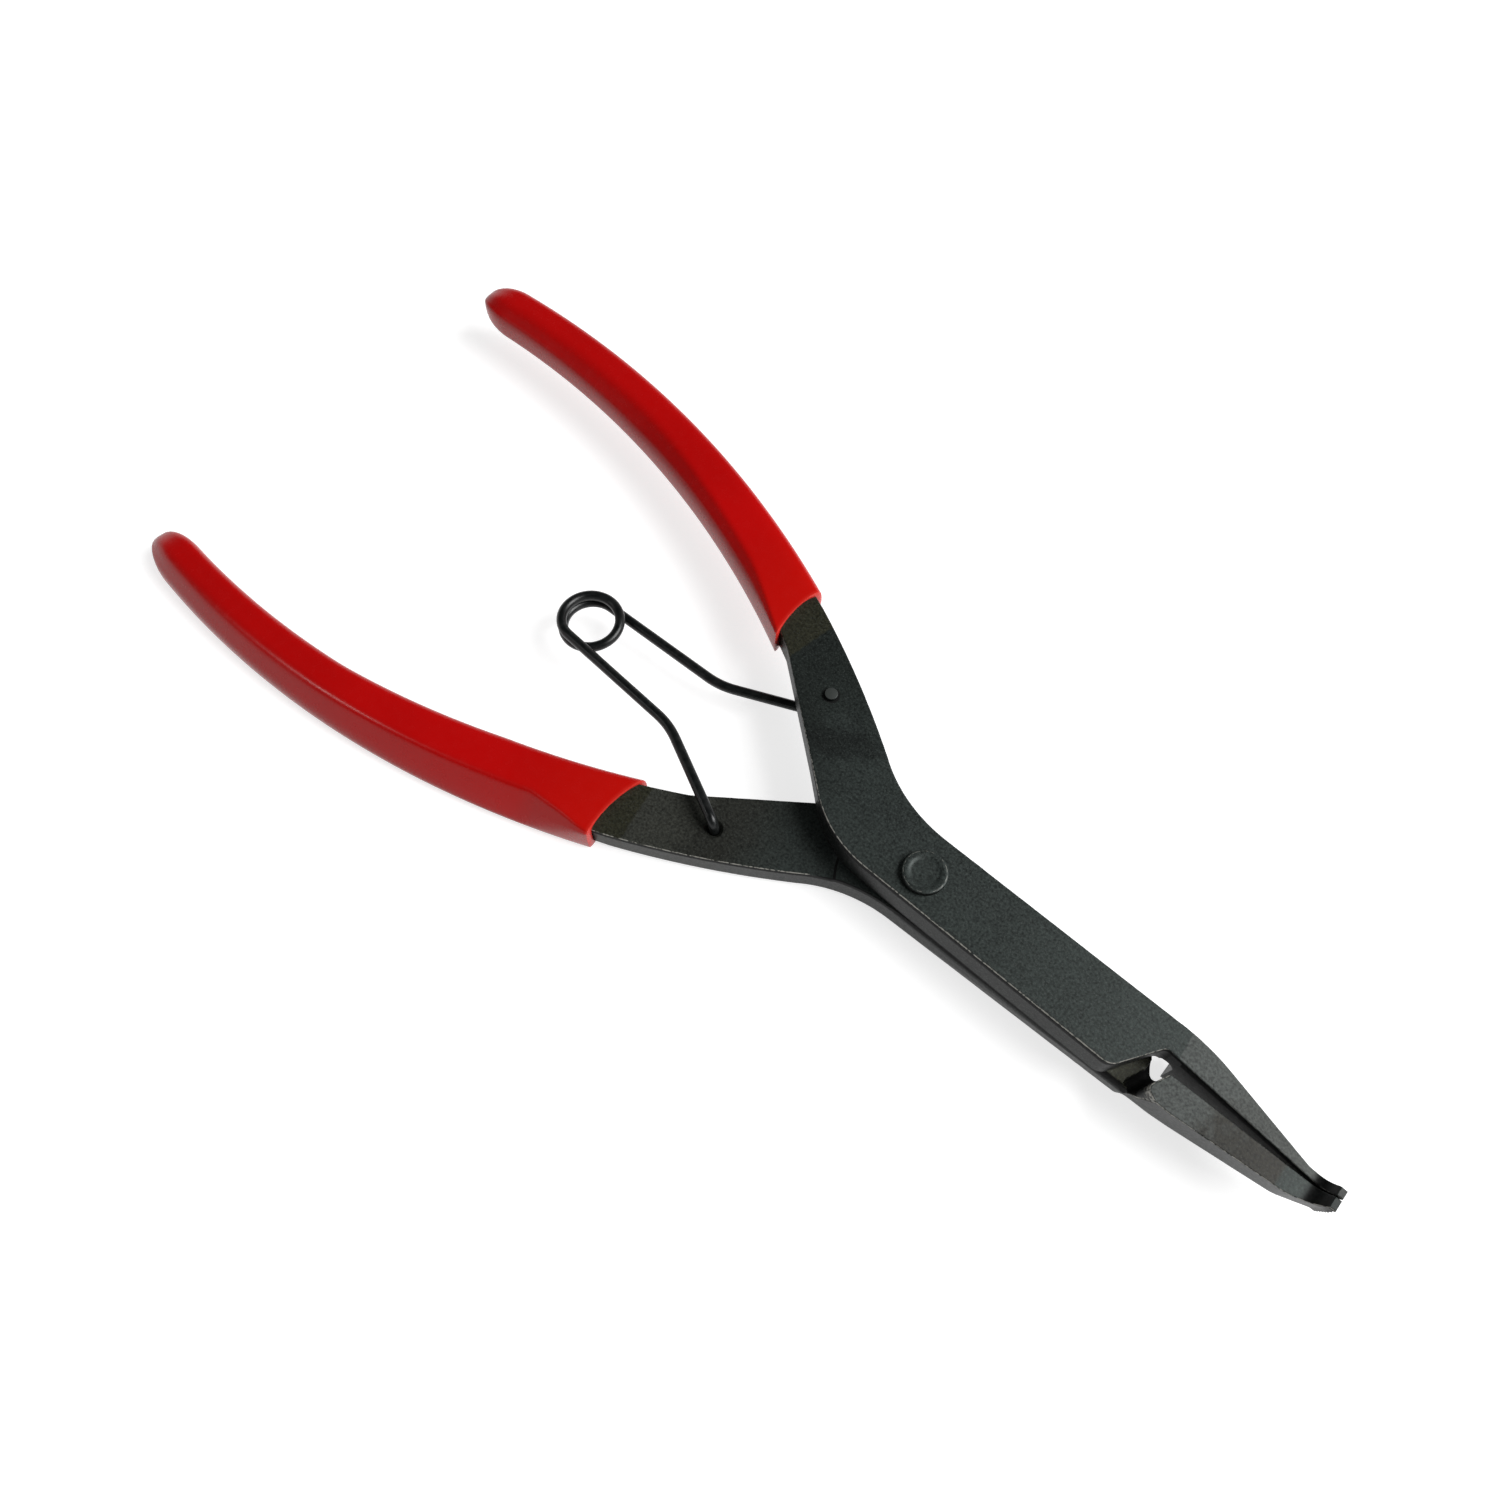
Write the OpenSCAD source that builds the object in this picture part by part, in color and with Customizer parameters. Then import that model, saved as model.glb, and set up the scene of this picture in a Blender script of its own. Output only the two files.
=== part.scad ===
// Circlip pliers with a lap joint, a torsion return spring and dipped handle grips.
// The two members are forgings that lie one on the other at the rivet. Each one has its
// handle and its jaw on the same side of the axis, so squeezing the handles spreads the tips.
// Frame: the rivet's axis is Z, the nose points along +X, the upper member is on the +Y side,
// and Z = 0 is the underside of the rivet's lower head. Drawn at rest, with the tips closed.

/* [Members] */
// Thickness of each member at the lap joint
joint_t = 5.5; // [5:0.1:6]
// How much thinner each handle is than its joint face
joint_step = 0.5; // [0.2:0.1:0.8]
// Radius of the raised joint face around the rivet
joint_r = 14.2; // [13:0.1:16]
// Running gap between the two joint faces
joint_gap = 0.1; // [0.05:0.01:0.2]
// Distance from the rivet to the outer face of the tips
nose_reach = 73.6; // [70:0.1:78]
// Half width of the nose on the upper member's own side
upper_nose_w = 7.1; // [6.8:0.1:7.5]
// Half width of the nose on the lower member's own side
lower_nose_w = 6.3; // [6:0.1:7.5]
// Width of each joint plate past the axis, toward the other member
plate_over = 5.5; // [5.2:0.1:6]

/* [Jaws] */
// Where the lower member's full-depth jaw begins
lower_jaw_start = 46; // [45.8:0.1:46.6]
// Where the upper member's full-depth jaw begins
upper_jaw_start = 48.2; // [47.8:0.1:49]
// Radius of the round groove behind each full-depth jaw
relief_r = 1.2; // [0.8:0.1:1.4]
// Radius of the lower jaw's back corner
back_r = 1.6; // [1:0.1:2.4]
// Half width of the lower member where its jaw begins to taper
lower_shoulder_w = 5.5; // [5.3:0.1:5.9]
// Half width of the lower jaw where its tip begins to narrow
lower_cheek_w = 3.7; // [3.3:0.1:4]
// Half width of the upper jaw's tip
upper_tip_w = 1.6; // [1.5:0.1:2]
// Half width of the lower jaw's tip
lower_tip_w = 2; // [1.8:0.1:2.4]
// Height of the jaw's underside at the tips, over the underside at its root
tip_rise = 6; // [4:0.1:7]
// Height of the turned-up lip over the jaw's top face
lip_h = 2; // [1.5:0.1:2.5]
// Thickness of the lip at its top edge
lip_t = 0.85; // [0.6:0.05:1.2]
// Width of the slit at its root on the upper member's side
upper_slit = 2.3; // [1.8:0.1:2.6]
// Width of the slit at its root on the lower member's side
lower_slit = 0.5; // [0.3:0.1:1.2]
// Gap that each tip keeps to the axis when closed
tip_gap = 0.1; // [0.05:0.01:0.2]
// Number of grip grooves across the end face of each tip
groove_count = 6; // [4:1:7]

/* [Handles] */
// Distance behind the rivet where the upper grip ends
upper_reach = 153.5; // [150:0.5:160]
// Distance behind the rivet where the lower grip ends
lower_reach = 158; // [150:0.5:162]
// Distance of the handles from the axis at their widest
handle_off = 43.9; // [42:0.1:46]
// Distance behind the rivet where the handles are widest
bow_end = 133; // [130:0.5:136]
// Radius of the handle's bow
bow_r = 196; // [190:1:205]
// Half width of the steel handle at the grip's mouth
tang_w = 4.65; // [4.4:0.05:4.8]
// Half width of the steel handle at its far end
tang_end_w = 3.1; // [2.8:0.1:3.5]
// How much wider the lower handle is on its inner side near the grip's mouth
lower_wide = 1.35; // [1:0.05:1.5]

/* [Grips] */
// Distance behind the rivet of the grip's mouth, along the axis
mouth = 47.6; // [46.5:0.1:49]
// Grip wall at the sides of the handle
grip_wall = 1.4; // [1.2:0.05:1.6]
// Grip wall over and under the handle
grip_wall_z = 1; // [0.9:0.05:1]
// Grip material past the end of the steel
grip_end = 10; // [9.5:0.5:14]
// Length of the grip's round end
grip_round = 9; // [7:0.5:9]
// Clearance of the grip on the handle
grip_fit = 0.05; // [0.04:0.01:0.08]

/* [Rivet] */
// Rivet head diameter
head_d = 7.6; // [7:0.1:8.5]
// Rivet head height
head_h = 1; // [0.9:0.05:1.2]
// Rivet shank diameter
shank_d = 5; // [4.5:0.1:5.4]
// Radial clearance of the shank in the upper member
run_fit = 0.05; // [0.03:0.01:0.08]
// Clearance under the rivet's upper head
head_gap = 0.05; // [0.03:0.01:0.1]

/* [Spring] */
// Spring wire diameter
wire_d = 1.9; // [1.7:0.05:1.9]
// Mean radius of the coil
coil_r = 5.4; // [5:0.1:5.6]
// Distance of the coil's centre behind the rivet
coil_x = 78; // [76:0.5:80]
// Height of the coil between its two legs
coil_rise = 3.3; // [3.2:0.05:3.5]
// Gap between the two halves of the spring where the coil is cut
cut_gap = 0.3; // [0.2:0.05:0.6]
// Distance of the spring holes behind the rivet
hole_x = 32.5; // [32:0.1:33]
// Distance of the spring holes inside the handle's centre line
hole_off = 0.873; // [0.5:0.001:1.2]
// Distance of the leg's knee behind the rivet
knee_x = 51.3; // [50.5:0.1:54]
// Distance of the leg's knee from the axis
knee_y = 6.6; // [6:0.1:7]
// Length of wire that the knee's bend takes up on each side
knee_run = 3; // [2:0.1:4]
// Bend radius where each leg turns into its hole
bend_r = 1.8; // [1.6:0.05:1.9]
// Diameter of the pin at the end of each leg
pin_d = 2; // [1.95:0.05:2.1]
// Width of the countersink over the lower spring hole
sink_d = 3.1; // [2.8:0.1:3.4]

/* [Hidden] */
$fn = 48;
// Levels, from the underside of the rivet up
low_z0 = head_h;
low_z1 = low_z0 + joint_t;
up_z0 = low_z1 + joint_gap;
up_z1 = up_z0 + joint_t;
mid_z = (low_z1 + up_z0) / 2;
handle_t = joint_t - joint_step;
low_mid = low_z0 + handle_t / 2;
up_mid = up_z1 - handle_t / 2;
// The handle's centre line, as distances behind the rivet and off the axis
function bow(x) = handle_off - bow_r + sqrt(pow(bow_r, 2) - pow(bow_end - x, 2));
function bow_tilt(x) = asin((bow_end - x) / bow_r);
function bow_pt(x, side) = [side * sin(bow_tilt(x)) - x, side * cos(bow_tilt(x)) + bow(x)];
// Half width of the steel handle along its length
function tang_half(x, far) = tang_w + (tang_end_w - tang_w) * (x - mouth) / (far - mouth);
// The same on the inner side, where a handle may be wider by an amount that fades out along the bow
wide_end = 105;
wide_run = 35;
function tang_in(x, far, wide) = tang_half(x, far) + wide * min(1, max(0, (wide_end - x) / wide_run));
// Points of an arc about c from angle a to angle b
function polar(r, a) = r * [cos(a), sin(a)];
function arc(c, r, a, b, n) = [for (i = [0 : n]) c + polar(r, a + (b - a) * i / n)];
tang_steps = 22;
function tang_x(i, far) = mouth + (far - mouth) * i / tang_steps;

// Neck: the bow runs on ahead of the mouth, then the outer edge sweeps into the nose and the inner
// edge drops straight to the joint plate
out_from = 20;
upper_in_from = 42.5;
lower_in_from = 37;
neck_steps = 6;
function neck_x(i, from) = from + (mouth - from) * i / neck_steps;
neck_out = 35.2;
neck_in = 38.5;
neck_out_r = 28;
neck_in_r = 22;
neck_out_c = [-1, neck_out_r];
neck_in_c = [-8.2, neck_in_r];
// Joint plate: a round corner, a slanted front edge and a round notch at the root of the slit
plate_slant = 57;
upper_plate_end = 37.9;
lower_plate_end = 40.4;
corner_r = 2.5;
notch_r = 1.3;
notch_h = 0.1;
upper_notch_x = 45;
lower_notch_x = 46.5;
notch_from = asin(1 - notch_h / notch_r);
notch_to = 150;
function notch_c(x, slit) = [x, slit + notch_h - notch_r];
// Jaws: the upper one has a round shoulder and a straight taper, the lower one narrows at its tip
shoulder_x = 44;
shoulder_r = 37;
taper = 13;
upper_cheek = [nose_reach - 5.1, upper_tip_w + 0.2];
lower_cheek = [nose_reach - 5.6, lower_cheek_w];
upper_jaw = concat(
    arc([shoulder_x, upper_nose_w - shoulder_r], shoulder_r, 90, 90 - taper, 6),
    [upper_cheek, [nose_reach, upper_tip_w]]);
lower_jaw = [
    [shoulder_x, lower_shoulder_w],
    lower_cheek,
    [nose_reach - lip_t, lower_tip_w],
    [nose_reach, lower_tip_w]];
tip_flat = 1.4;

// Outline of a member with its own side toward +Y
function blade_pts(far, nose_w, jaw, slit, notch_x, plate_end, in_from, wide) = concat(
    [for (i = [tang_steps : -1 : 0]) bow_pt(tang_x(i, far), tang_half(tang_x(i, far), far))],
    [for (i = [neck_steps - 1 : -1 : 0]) bow_pt(neck_x(i, out_from), tang_half(neck_x(i, out_from), far))],
    arc([neck_out_c[0], nose_w + neck_out_r], neck_out_r, -90 - neck_out, -90, 10),
    jaw,
    [[nose_reach, tip_gap], [nose_reach - tip_flat, tip_gap]],
    arc(notch_c(notch_x, slit), notch_r, notch_from, notch_to, 8),
    arc([plate_end, corner_r - plate_over], corner_r, plate_slant - 90, -90, 6),
    arc([neck_in_c[0], neck_in_r - plate_over], neck_in_r, -90, -90 - neck_in, 10),
    [for (i = [0 : neck_steps - 1]) bow_pt(neck_x(i, in_from), -tang_in(neck_x(i, in_from), far, wide))],
    [for (i = [0 : tang_steps]) bow_pt(tang_x(i, far), -tang_in(tang_x(i, far), far, wide))]);
module upper_blade() {
    polygon(blade_pts(upper_reach - grip_end, upper_nose_w, upper_jaw, upper_slit, upper_notch_x,
        upper_plate_end, upper_in_from, 0));
}
module lower_blade() {
    mirror([0, 1])
        polygon(blade_pts(lower_reach - grip_end, lower_nose_w, lower_jaw, lower_slit, lower_notch_x,
            lower_plate_end, lower_in_from, lower_wide));
}
// A half plane behind x, for cutting an outline short
beyond = 200;
module behind(x) {
    translate([-beyond, -beyond])
        square([beyond + x, 2 * beyond]);
}

// Side view of the full-depth jaws: upright back, taper below and lip at the tips
lip_r = 3;
lip_foot = nose_reach - lip_t - lip_r;
jaw_top = up_z1;
jaw_root = 3;
function jaw_floor(x) = low_z0 + tip_rise * (x - lower_jaw_start) / (nose_reach - lower_jaw_start);
function jaw_nose() = concat(
    [[nose_reach, low_z0 + tip_rise], [nose_reach, jaw_top + lip_h], [nose_reach - lip_t, jaw_top + lip_h]],
    arc([lip_foot, jaw_top + lip_r], lip_r, -19.5, -90, 8));
module lower_jaw_side() {
    polygon(concat(
        [[lower_jaw_start - jaw_root, low_z0], [lower_jaw_start, low_z0]],
        jaw_nose(),
        [[lower_jaw_start, jaw_top], [lower_jaw_start, low_z1], [lower_jaw_start - jaw_root, low_z1]]));
}
module upper_jaw_side() {
    polygon(concat(
        [[upper_jaw_start - jaw_root, jaw_top], [upper_jaw_start - jaw_root, up_z0]],
        [[upper_jaw_start, up_z0], [upper_jaw_start, jaw_floor(upper_jaw_start)]],
        jaw_nose()));
}
module stand_up(w) {
    translate([0, w / 2, 0])
        rotate([90, 0, 0])
            linear_extrude(w)
                children();
}
// Round groove across a member at the foot of its jaw
module relief(x, z) {
    translate([x - relief_r, 0, z])
        rotate([90, 0, 0])
            cylinder(r = relief_r, h = 40, center = true);
}
// What is cut off the lower jaw to round its back corner
lower_taper = atan((lower_shoulder_w - lower_cheek_w) / (lower_cheek[0] - shoulder_x));
back_x = lower_jaw_start + back_r;
back_y = lower_shoulder_w - back_r - (back_x - shoulder_x) * tan(lower_taper);
module back_corner() {
    translate([back_x, -back_y, low_z1])
        linear_extrude(jaw_top)
            difference() {
                translate([-2 * back_r, -4 * back_r])
                    square([2 * back_r, 4 * back_r]);
                circle(r = back_r);
            }
}
// Shallow grooves across the end face of the tips
groove_d = 0.25;
groove_pitch = (joint_t + lip_h - 1) / groove_count;
module tip_grooves() {
    for (i = [1 : groove_count])
        translate([nose_reach, 0, jaw_top + lip_h - i * groove_pitch])
            rotate([0, 45, 0])
                cube([groove_d * sqrt(2), 12, groove_d * sqrt(2)], center = true);
}
// Forging draft on the lower member's outer side: a plane that leans in toward the underside, with
// nothing cut off at the rivet, and another along the jaw from its ground top down
draft_w = 0.85;
draft_run = shoulder_x - neck_out_c[0];
draft_turn = atan((lower_nose_w - lower_shoulder_w + draft_w) / draft_run);
jaw_lean = 5.5;
module lean_cut(z, turn, lean, from, run) {
    translate([shoulder_x, -lower_shoulder_w, z])
        rotate([0, 0, turn])
            rotate([lean, 0, 0])
                translate([from, -8, -24])
                    cube([run, 8, 24]);
}
module draft_cut() {
    lean_cut(low_z1, draft_turn, atan(draft_w / joint_t), -draft_run, draft_run + relief_r);
    lean_cut(jaw_top, lower_taper, jaw_lean, lower_jaw_start - relief_r - shoulder_x, 40);
}
// What the raised joint face leaves standing over the handle
relief_x = 2;
module handle_relief() {
    difference() {
        behind(-relief_x);
        circle(r = joint_r, $fn = 96);
    }
}
module bore(d, h) {
    translate([0, 0, -1])
        cylinder(d = d, h = h + 2);
}

module lower_member() {
    color([0.17, 0.18, 0.17])
        difference() {
            union() {
                translate([0, 0, low_z0])
                    linear_extrude(joint_t)
                        intersection() {
                            lower_blade();
                            behind(lower_jaw_start);
                        }
                intersection() {
                    linear_extrude(30)
                        lower_blade();
                    stand_up(40)
                        lower_jaw_side();
                }
            }
            relief(lower_jaw_start, low_z1);
            back_corner();
            translate([0, 0, low_z1 - joint_step])
                linear_extrude(5)
                    handle_relief();
            bore(shank_d, low_z1);
            translate([-hole_x, -hole_y, 0]) {
                bore(pin_d + 2 * run_fit, low_z1);
                translate([0, 0, low_z0 + handle_t - 0.6])
                    cylinder(d1 = pin_d + 2 * run_fit, d2 = sink_d + 0.2, h = 0.7);
            }
            draft_cut();
            tip_grooves();
        }
}

module upper_member() {
    color([0.19, 0.21, 0.2])
        difference() {
            union() {
                translate([0, 0, up_z0])
                    linear_extrude(joint_t)
                        intersection() {
                            upper_blade();
                            behind(upper_jaw_start);
                        }
                intersection() {
                    linear_extrude(30)
                        upper_blade();
                    stand_up(40)
                        upper_jaw_side();
                }
            }
            relief(upper_jaw_start, up_z0);
            translate([0, 0, up_z0 + joint_step - 5])
                linear_extrude(5)
                    handle_relief();
            bore(shank_d + 2 * run_fit, up_z1);
            translate([-hole_x, hole_y, 0])
                bore(pin_d + 2 * run_fit, up_z1);
            tip_grooves();
        }
}

// Flat-headed rivet, fast in the lower member, with a shallow dish in its upper head
dish_d = 5;
dish_h = 0.2;
module pivot_rivet() {
    color([0.16, 0.17, 0.16])
        difference() {
            union() {
                cylinder(d = head_d, h = head_h);
                cylinder(d = shank_d, h = up_z1 + head_gap + head_h);
                translate([0, 0, up_z1 + head_gap])
                    cylinder(d = head_d, h = head_h);
            }
            translate([0, 0, up_z1 + head_gap + head_h - dish_h])
                cylinder(d1 = dish_d - 0.6, d2 = dish_d, h = dish_h + 0.01);
        }
}

// Dipped grip: a soft-cornered sleeve swept along the handle, open at the mouth and round at the end
sides = 24;
soft = 0.62;
grip_steps = 24;
round_steps = 8;
// The mouth is cut straight across the axis, and the rings swing square to the handle behind it
mouth_run = 20;
function sgn_pow(v) = sign(v) * pow(abs(v), soft);
function soft_pt(k, w, h) = [w * sgn_pow(cos(360 * k / sides - 45)), h * sgn_pow(sin(360 * k / sides - 45))];
function edge_pos(k) = 2 * (k % 6) / 6 - 1;
function box_pt(k, w, h) =
    k < 6 ? [w, h * edge_pos(k)] :
    k < 12 ? [-w * edge_pos(k), h] :
    k < 18 ? [-w, -h * edge_pos(k)] :
    [w * edge_pos(k), -h];
function across(x, side) = x + side * sin(bow_tilt(x)) * max(0, 1 - (x - mouth) / mouth_run);
function on_bow(x, p, z) = [bow_pt(across(x, p[0]), p[0])[0], bow_pt(across(x, p[0]), p[0])[1], z + p[1]];
function moved(p, d) = [p[0] + d, p[1]];
module grip(reach, z, wider) {
    far = reach - grip_end;
    full = reach - grip_round;
    half_h = handle_t / 2 + grip_wall_z;
    steel = function (x) (tang_half(x, far) + tang_in(x, far, wider)) / 2;
    off = function (x) (tang_half(x, far) - tang_in(x, far, wider)) / 2;
    grow = function (x) x > full ? sqrt(1 - pow((x - full) / (grip_round + 0.05), 2)) : 1;
    wide = function (x) steel(min(x, far)) + grip_wall;
    xs = concat(
        [for (i = [0 : grip_steps - 1]) mouth + (full - mouth) * i / grip_steps],
        [for (i = [0 : round_steps]) full + (reach - full) * sin(90 * i / round_steps)]);
    outer = [for (x = xs) [for (k = [0 : sides - 1])
        on_bow(x, moved(soft_pt(k, wide(x) * grow(x), half_h * grow(x)), off(x)), z)]];
    bore_xs = [for (i = [0 : tang_steps]) tang_x(i, far + grip_fit)];
    inner = [for (x = bore_xs) [for (k = [0 : sides - 1])
        on_bow(x, moved(box_pt(k, steel(x) + grip_fit, handle_t / 2 + grip_fit), off(x)), z)]];
    rings = concat(outer, inner);
    no = len(outer);
    ni = len(inner);
    at = function (r, k) r * sides + k % sides;
    faces = concat(
        [for (r = [0 : no - 2]) for (k = [0 : sides - 1]) each
            [[at(r, k), at(r, k + 1), at(r + 1, k + 1)], [at(r, k), at(r + 1, k + 1), at(r + 1, k)]]],
        [for (r = [no : no + ni - 2]) for (k = [0 : sides - 1]) each
            [[at(r, k), at(r + 1, k + 1), at(r, k + 1)], [at(r, k), at(r + 1, k), at(r + 1, k + 1)]]],
        [for (k = [0 : sides - 1]) each
            [[at(0, k), at(no, k), at(no, k + 1)], [at(0, k), at(no, k + 1), at(0, k + 1)]]],
        [[for (k = [0 : sides - 1]) at(no - 1, k)]],
        [[for (k = [sides - 1 : -1 : 0]) at(no + ni - 1, k)]]);
    polyhedron([for (r = rings) each r], faces);
}
module upper_grip() {
    color([0.75, 0.07, 0.05])
        grip(upper_reach, up_mid, 0);
}
module lower_grip() {
    color([0.72, 0.06, 0.05])
        mirror([0, 1, 0])
            grip(lower_reach, low_mid, lower_wide);
}

// Return spring: each half runs from its pin through the knee to the coil and round to the cut
wire_sides = 12;
leg_z = coil_rise / 2;
hole_y = bow(hole_x) - hole_off;
knee_v = [coil_x - knee_x, -knee_y];
knee_turn = atan2(knee_v[1], knee_v[0]) - acos(coil_r / norm(knee_v));
cut_turn = cut_gap / coil_r * 90 / PI;
coil_turn = 360 + knee_turn - cut_turn;
coil_steps = 36;
leg_dir = atan2(hole_y - knee_y, hole_x - knee_x);
// Centre line of the half that ends in the lower member, from the pin to the cut
function spring_line() = concat(
    [for (i = [0 : 5]) [-hole_x, -hole_y, leg_z - bend_r]
        + bend_r * [(1 - cos(18 * i)) * cos(leg_dir), (1 - cos(18 * i)) * sin(leg_dir), sin(18 * i)]],
    [for (i = [0 : knee_steps]) [each knee_pt(i / knee_steps), leg_z]],
    [for (i = [0 : coil_steps]) [-coil_x + coil_r * cos(knee_turn - coil_turn * i / coil_steps),
        coil_r * sin(knee_turn - coil_turn * i / coil_steps), leg_z * (1 - i / coil_steps)]]);
// The knee's bend, as a smooth curve from the hole's side round to the coil's side
knee_steps = 4;
knee_at = [-knee_x, -knee_y];
hole_in = unit([-hole_x, -hole_y] - knee_at);
coil_in = unit([coil_r * cos(knee_turn) - coil_x, coil_r * sin(knee_turn)] - knee_at);
function knee_pt(t) = knee_at + knee_run * (pow(1 - t, 2) * hole_in + pow(t, 2) * coil_in);
function unit(v) = v / norm(v);
module wire(line) {
    n = len(line);
    dirs = [for (i = [0 : n - 1]) i == 0 ? [0, 0, 1] : unit(line[min(i + 1, n - 1)] - line[i - 1])];
    // The side vector stays level, also where the wire stands upright on its pin
    pin_side = [sin(leg_dir), -cos(leg_dir), 0];
    side = [for (d = dirs) norm([d[0], d[1]]) > 0.01 ? unit([d[1], -d[0], 0]) : pin_side];
    rim = [for (k = [0 : wire_sides - 1]) polar(wire_d / 2, 360 * k / wire_sides)];
    rings = [for (i = [0 : n - 1]) [for (q = rim) line[i] + q[0] * side[i] + q[1] * cross(dirs[i], side[i])]];
    at = function (r, k) r * wire_sides + k % wire_sides;
    polyhedron(
        [for (r = rings) each r],
        concat(
            [for (r = [0 : n - 2]) for (k = [0 : wire_sides - 1]) each
                [[at(r, k), at(r + 1, k + 1), at(r, k + 1)], [at(r, k), at(r + 1, k), at(r + 1, k + 1)]]],
            [[for (k = [0 : wire_sides - 1]) at(0, k)]],
            [[for (k = [wire_sides - 1 : -1 : 0]) at(n - 1, k)]]));
}
// The pin starts where the bend ends, and stops short of the other face of its hole
pin_top = leg_z - bend_r;
pin_h = 0.5;
module spring_lower_half() {
    color([0.07, 0.08, 0.08])
        union() {
            translate([0, 0, mid_z])
                wire(spring_line());
            translate([-hole_x, -hole_y, low_z0 + pin_h])
                cylinder(d = pin_d, h = mid_z + pin_top - low_z0 - pin_h);
        }
}
stud_d = 2.4;
stud_h = 0.7;
module spring_upper_half() {
    color([0.08, 0.08, 0.08])
        union() {
            translate([0, 0, mid_z])
                rotate([180, 0, 0])
                    wire(spring_line());
            translate([-hole_x, hole_y, mid_z - pin_top])
                cylinder(d = pin_d, h = up_z1 + head_gap - mid_z + pin_top);
            translate([-hole_x, hole_y, up_z1 + head_gap])
                cylinder(d = stud_d, h = stud_h);
        }
}

lower_member();
upper_member();
pivot_rivet();
lower_grip();
upper_grip();
spring_lower_half();
spring_upper_half();
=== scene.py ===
import math

import bmesh
import bpy
import numpy as np
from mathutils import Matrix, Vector, noise


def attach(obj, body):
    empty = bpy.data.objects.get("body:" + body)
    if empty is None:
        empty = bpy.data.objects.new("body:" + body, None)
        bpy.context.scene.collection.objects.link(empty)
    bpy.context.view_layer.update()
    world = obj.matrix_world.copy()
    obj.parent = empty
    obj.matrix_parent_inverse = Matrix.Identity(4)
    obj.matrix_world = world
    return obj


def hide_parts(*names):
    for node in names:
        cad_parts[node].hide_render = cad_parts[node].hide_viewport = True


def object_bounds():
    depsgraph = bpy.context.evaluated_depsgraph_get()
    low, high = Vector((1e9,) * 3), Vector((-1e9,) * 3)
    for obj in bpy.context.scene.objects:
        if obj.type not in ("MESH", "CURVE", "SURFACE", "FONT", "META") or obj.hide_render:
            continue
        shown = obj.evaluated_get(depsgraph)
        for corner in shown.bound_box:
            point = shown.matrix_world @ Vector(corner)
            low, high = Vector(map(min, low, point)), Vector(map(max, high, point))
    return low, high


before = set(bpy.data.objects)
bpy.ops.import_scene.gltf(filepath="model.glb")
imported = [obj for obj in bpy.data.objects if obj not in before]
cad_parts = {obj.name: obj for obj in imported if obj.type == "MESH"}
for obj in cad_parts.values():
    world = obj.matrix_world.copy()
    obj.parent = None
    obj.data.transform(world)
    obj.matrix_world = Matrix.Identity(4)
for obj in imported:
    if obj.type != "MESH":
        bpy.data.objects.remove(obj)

# Circlip pliers: two black forged members on a flat rivet, dipped red grips and a torsion spring.
# All lengths below are in millimetres, and MM turns them into Blender's metres.
MM = 0.001
cad_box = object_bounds()

# View: the pliers lie flat and are seen from above and from the right of the nose, close up
# with a wide lens, so that the nose looks large and the handles run away from it.
VIEW_AZIMUTH = math.radians(41.9)
VIEW_ELEVATION = math.radians(63.5)
VIEW_FROM = Vector((19.3, -63.8, 178.1)) * MM
VIEW_LENS = 26
VIEW_SENSOR = 36
camera = bpy.data.objects.new("camera", bpy.data.cameras.new("camera"))
camera.data.lens = VIEW_LENS
camera.data.sensor_width = VIEW_SENSOR
camera.data.clip_start = 1 * MM
level = math.cos(VIEW_ELEVATION)
view_back = Vector((math.sin(VIEW_AZIMUTH) * level, -math.cos(VIEW_AZIMUTH) * level,
    math.sin(VIEW_ELEVATION)))
camera.location = VIEW_FROM
camera.rotation_euler = (-view_back).to_track_quat("-Z", "Y").to_euler()
bpy.context.scene.collection.objects.link(camera)
bpy.context.scene.camera = camera
bpy.context.scene.view_settings.view_transform = "Standard"

# Studio: a pale matt table before a white backdrop, under a dark ceiling. A wide soft panel beyond
# the nose leaves the near sides in shade, and a small lamp in front gives the highlights.
TABLE_HALF = 1500 * MM
TABLE_COLOUR = (0.5, 0.5, 0.5, 1)
TABLE_LIFT = 0.72
ROOM_LIGHT = 0.2
CEILING_LIGHT = 0.03
BACKDROP_EDGE = (0.22, 0.42)


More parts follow.
